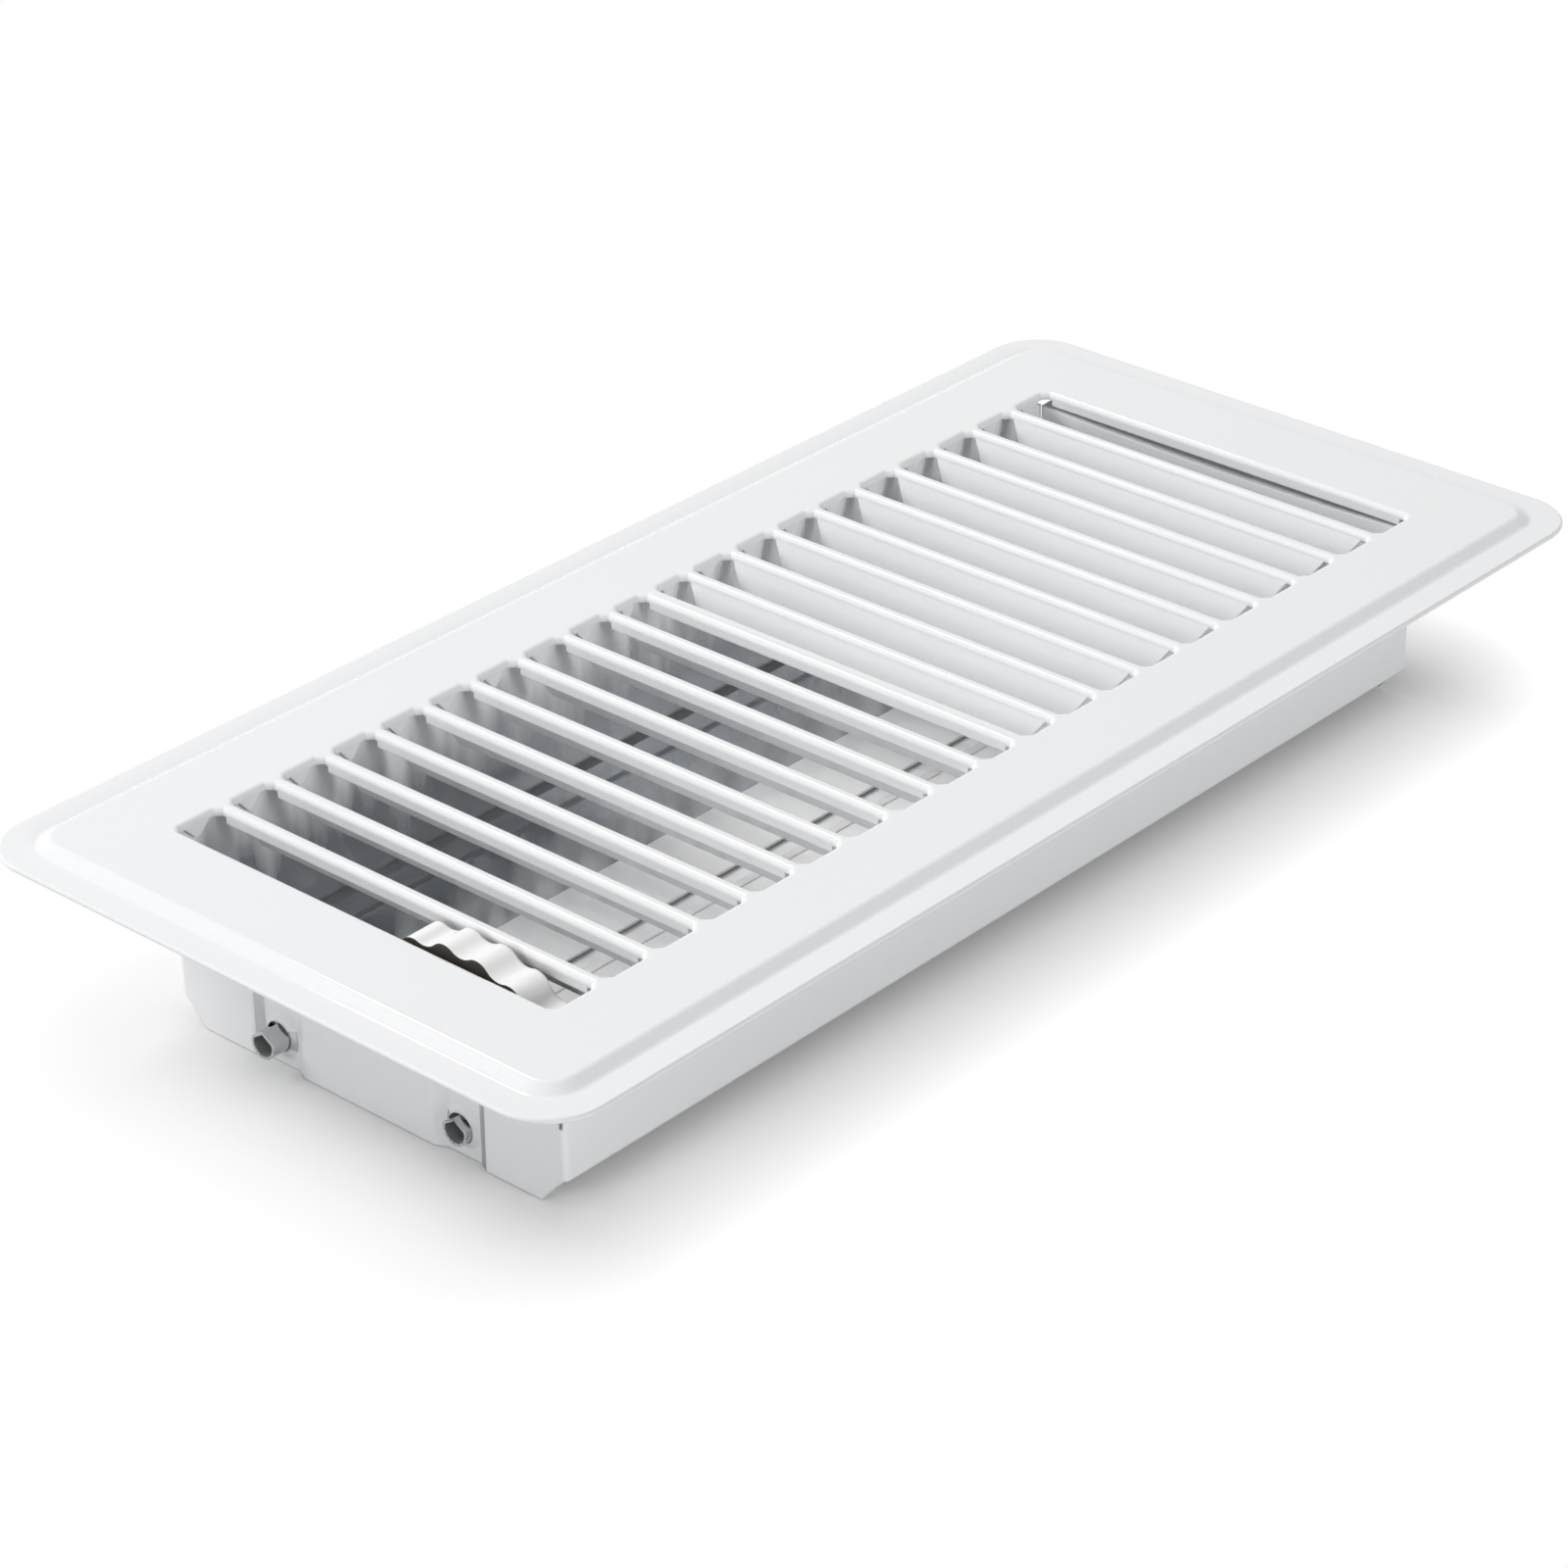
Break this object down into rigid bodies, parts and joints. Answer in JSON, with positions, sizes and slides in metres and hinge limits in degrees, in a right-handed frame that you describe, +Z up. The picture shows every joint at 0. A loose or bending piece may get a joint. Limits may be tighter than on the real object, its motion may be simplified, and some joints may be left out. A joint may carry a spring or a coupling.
{
  "type": "floor register",
  "caption": "Rectangular steel floor register: bevelled faceplate with leaning louver bars over a drop-in box, whose linked damper blades are turned by a thumbwheel.",
  "frame": {"origin": "middle of the length and width, at the bottom edges of the damper box's end walls", "axes": "+X along the length, from the thumbwheel end to the far end; +Z up, out of the floor; -Y is the front side in the picture"},
  "size_m": [0.2922, 0.1396, 0.0404],
  "materials": {
    "white_enamel": "gloss",
    "galvanised_steel": "bright",
    "white_plastic": "gloss"
  },
  "bodies": {
    "base": {"faceplate": "white_enamel", "damper_box": "white_enamel"},
    "front_damper": {"front_blade": "galvanised_steel", "thumbwheel": "white_plastic"},
    "rear_damper": {"rear_blade": "galvanised_steel"},
    "link": {"link_wire": "galvanised_steel"}
  },
  "joints": [
    {"name": "front_damper_turn", "type": "hinge", "parent": "base", "child": "front_damper", "pos_m": [0, -0.02225, 0.00605], "axis": [-1, 0, 0], "range_deg": [0, 50]},
    {"name": "rear_damper_turn", "type": "hinge", "parent": "base", "child": "rear_damper", "pos_m": [0, 0.02225, 0.00605], "axis": [-1, 0, 0], "range_deg": [0, 50]},
    {"name": "link_turn", "type": "hinge", "parent": "front_damper", "child": "link", "pos_m": [-0.1109, -0.02725, 0.01471], "axis": [-1, 0, 0], "range_deg": [-50, 0]}
  ],
  "couplings": [
    {"joint": "rear_damper_turn", "follows": "front_damper_turn", "ratio": 1},
    {"joint": "link_turn", "follows": "front_damper_turn", "ratio": -1}
  ]
}
